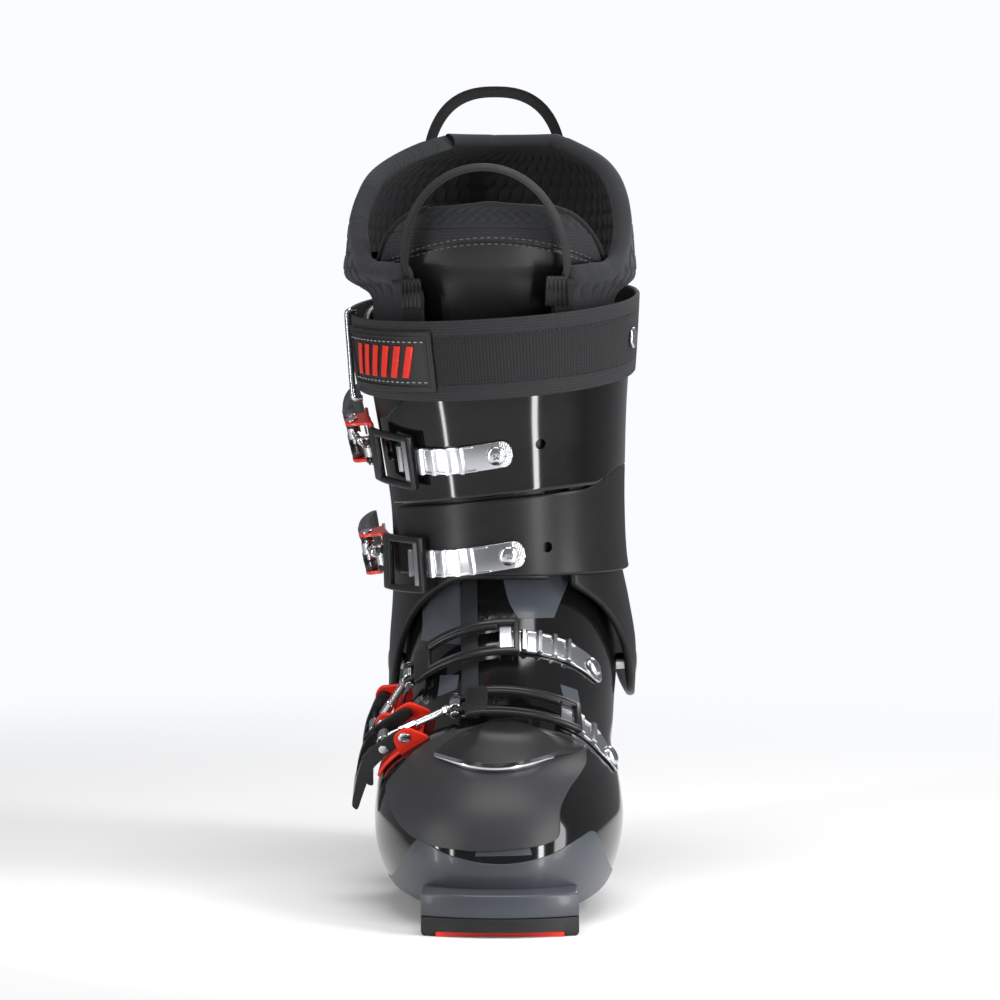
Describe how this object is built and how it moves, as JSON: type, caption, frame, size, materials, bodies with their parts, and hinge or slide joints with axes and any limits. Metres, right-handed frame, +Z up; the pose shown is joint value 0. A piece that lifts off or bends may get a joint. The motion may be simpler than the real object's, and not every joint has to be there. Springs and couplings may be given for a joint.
{
  "type": "alpine ski boot",
  "caption": "Right alpine ski boot: hollow shell with flexing cuff, over-centre buckles with ladders, power strap and padded liner, standing on screwed toe and heel soles.",
  "frame": {"origin": "centre of the heel sole's flat bearing face, on the floor", "axes": "+Z up, the toe points along -Y, +X is the inner (medial) side of this right boot"},
  "size_m": [0.1455, 0.306, 0.3876],
  "materials": {
    "shell_gloss": "glossy black moulded shell",
    "shell_matte": "satin black moulded cuff",
    "overlay": "fine-grained dark grey",
    "sole": "black, moulded",
    "red": "bright red",
    "steel": "bright",
    "alloy": "brushed",
    "black_part": "black anodised look",
    "foam": "padded knit",
    "webbing": "woven",
    "patch": "moulded rubber",
    "board": "plain"
  },
  "bodies": {
    "lower_shell": {"lower_shell": "shell_gloss", "toe_overlay": "overlay", "toe_crest": "overlay", "crest_trim": "steel", "toe_sole": "sole", "toe_tread": "red", "heel_sole": "sole", "heel_tread": "red", "boot_board": "board", "footbed": "board", "liner_foot": "foam", "pivot_outer": "steel", "pivot_inner": "steel", "instep_buckle_base": "red", "instep_buckle_ladder": "alloy", "instep_buckle_screw": "steel", "toe_buckle_base": "red", "toe_buckle_ladder": "alloy", "toe_buckle_screw": "steel"},
    "cuff": {"cuff": "shell_matte", "upper_flap": "shell_gloss", "lower_flap": "shell_matte", "liner_cuff": "foam", "tongue": "foam", "collar_wing_outer": "black_part", "collar_wing_inner": "black_part", "rear_loop": "webbing", "tongue_loop": "webbing", "power_strap": "webbing", "strap_patch": "patch", "strap_ring": "steel", "strap_stud": "steel", "spine_screw_low": "steel", "spine_screw_high": "steel", "upper_buckle_base": "red", "upper_buckle_ladder": "alloy", "upper_buckle_screw": "steel", "lower_buckle_base": "red", "lower_buckle_ladder": "alloy", "lower_buckle_screw": "steel"},
    "upper_buckle_lever": {"upper_buckle_lever": "black_part", "upper_buckle_yoke_pin": "steel"},
    "upper_buckle_adjuster": {"upper_buckle_adjuster": "steel", "upper_buckle_bail_pin": "steel"},
    "upper_buckle_bail": {"upper_buckle_bail": "black_part"},
    "lower_buckle_lever": {"lower_buckle_lever": "black_part", "lower_buckle_yoke_pin": "steel"},
    "lower_buckle_adjuster": {"lower_buckle_adjuster": "steel", "lower_buckle_bail_pin": "steel"},
    "lower_buckle_bail": {"lower_buckle_bail": "black_part"},
    "instep_buckle_lever": {"instep_buckle_lever": "black_part", "instep_buckle_yoke_pin": "steel"},
    "instep_buckle_adjuster": {"instep_buckle_adjuster": "steel", "instep_buckle_bail_pin": "steel"},
    "instep_buckle_bail": {"instep_buckle_bail": "black_part"},
    "toe_buckle_lever": {"toe_buckle_lever": "black_part", "toe_buckle_yoke_pin": "steel"},
    "toe_buckle_adjuster": {"toe_buckle_adjuster": "steel", "toe_buckle_bail_pin": "steel"},
    "toe_buckle_bail": {"toe_buckle_bail": "black_part"}
  },
  "joints": [
    {"name": "cuff_flex", "type": "hinge", "parent": "lower_shell", "child": "cuff", "pos_m": [0, -0.058, 0.103], "axis": [1, 0, 0], "range_deg": [0, 8], "stiffness_Nm_per_rad": 200},
    {"name": "upper_buckle_lever_turn", "type": "hinge", "parent": "cuff", "child": "upper_buckle_lever", "pos_m": [-0.06964, -0.08835, 0.21282], "axis": [-0.191, -0.287, 0.9387], "range_deg": [0, 120]},
    {"name": "upper_buckle_adjuster_turn", "type": "hinge", "parent": "upper_buckle_lever", "child": "upper_buckle_adjuster", "pos_m": [-0.0711, -0.07591, 0.21632], "axis": [-0.191, -0.287, 0.9387], "range_deg": [-144, 0]},
    {"name": "upper_buckle_bail_turn", "type": "hinge", "parent": "upper_buckle_adjuster", "child": "upper_buckle_bail", "pos_m": [-0.062, -0.10899, 0.20806], "axis": [0.191, 0.287, -0.9387], "range_deg": [0, 40]},
    {"name": "lower_buckle_lever_turn", "type": "hinge", "parent": "cuff", "child": "lower_buckle_lever", "pos_m": [-0.0633, -0.08081, 0.15784], "axis": [-0.1667, -0.144, 0.9754], "range_deg": [0, 120]},
    {"name": "lower_buckle_adjuster_turn", "type": "hinge", "parent": "lower_buckle_lever", "child": "lower_buckle_adjuster", "pos_m": [-0.06439, -0.06796, 0.15955], "axis": [-0.1667, -0.144, 0.9754], "range_deg": [-144, 0]},
    {"name": "lower_buckle_bail_turn", "type": "hinge", "parent": "lower_buckle_adjuster", "child": "lower_buckle_bail", "pos_m": [-0.05632, -0.10208, 0.1559], "axis": [0.1667, 0.144, -0.9754], "range_deg": [0, 40]},
    {"name": "instep_buckle_lever_turn", "type": "hinge", "parent": "lower_shell", "child": "instep_buckle_lever", "pos_m": [-0.05505, -0.12957, 0.08649], "axis": [-0.0224, 0.7659, 0.6426], "range_deg": [0, 120]},
    {"name": "instep_buckle_adjuster_turn", "type": "hinge", "parent": "instep_buckle_lever", "child": "instep_buckle_adjuster", "pos_m": [-0.059, -0.12168, 0.07694], "axis": [-0.0224, 0.7659, 0.6426], "range_deg": [-144, 0]},
    {"name": "instep_buckle_bail_turn", "type": "hinge", "parent": "instep_buckle_adjuster", "child": "instep_buckle_bail", "pos_m": [-0.0425, -0.14318, 0.10314], "axis": [0.0224, -0.7659, -0.6426], "range_deg": [0, 40]},
    {"name": "toe_buckle_lever_turn", "type": "hinge", "parent": "lower_shell", "child": "toe_buckle_lever", "pos_m": [-0.04331, -0.18282, 0.08441], "axis": [0.0285, 0.8383, 0.5444], "range_deg": [0, 120]},
    {"name": "toe_buckle_adjuster_turn", "type": "hinge", "parent": "toe_buckle_lever", "child": "toe_buckle_adjuster", "pos_m": [-0.05314, -0.17794, 0.07742], "axis": [0.0285, 0.8383, 0.5444], "range_deg": [-144, 0]},
    {"name": "toe_buckle_bail_turn", "type": "hinge", "parent": "toe_buckle_adjuster", "child": "toe_buckle_bail", "pos_m": [-0.02031, -0.18931, 0.0932], "axis": [-0.0285, -0.8383, -0.5444], "range_deg": [0, 40]}
  ],
  "couplings": [
    {"joint": "upper_buckle_adjuster_turn", "follows": "upper_buckle_lever_turn", "ratio": -1.2},
    {"joint": "lower_buckle_adjuster_turn", "follows": "lower_buckle_lever_turn", "ratio": -1.2},
    {"joint": "instep_buckle_adjuster_turn", "follows": "instep_buckle_lever_turn", "ratio": -1.2},
    {"joint": "toe_buckle_adjuster_turn", "follows": "toe_buckle_lever_turn", "ratio": -1.2}
  ]
}
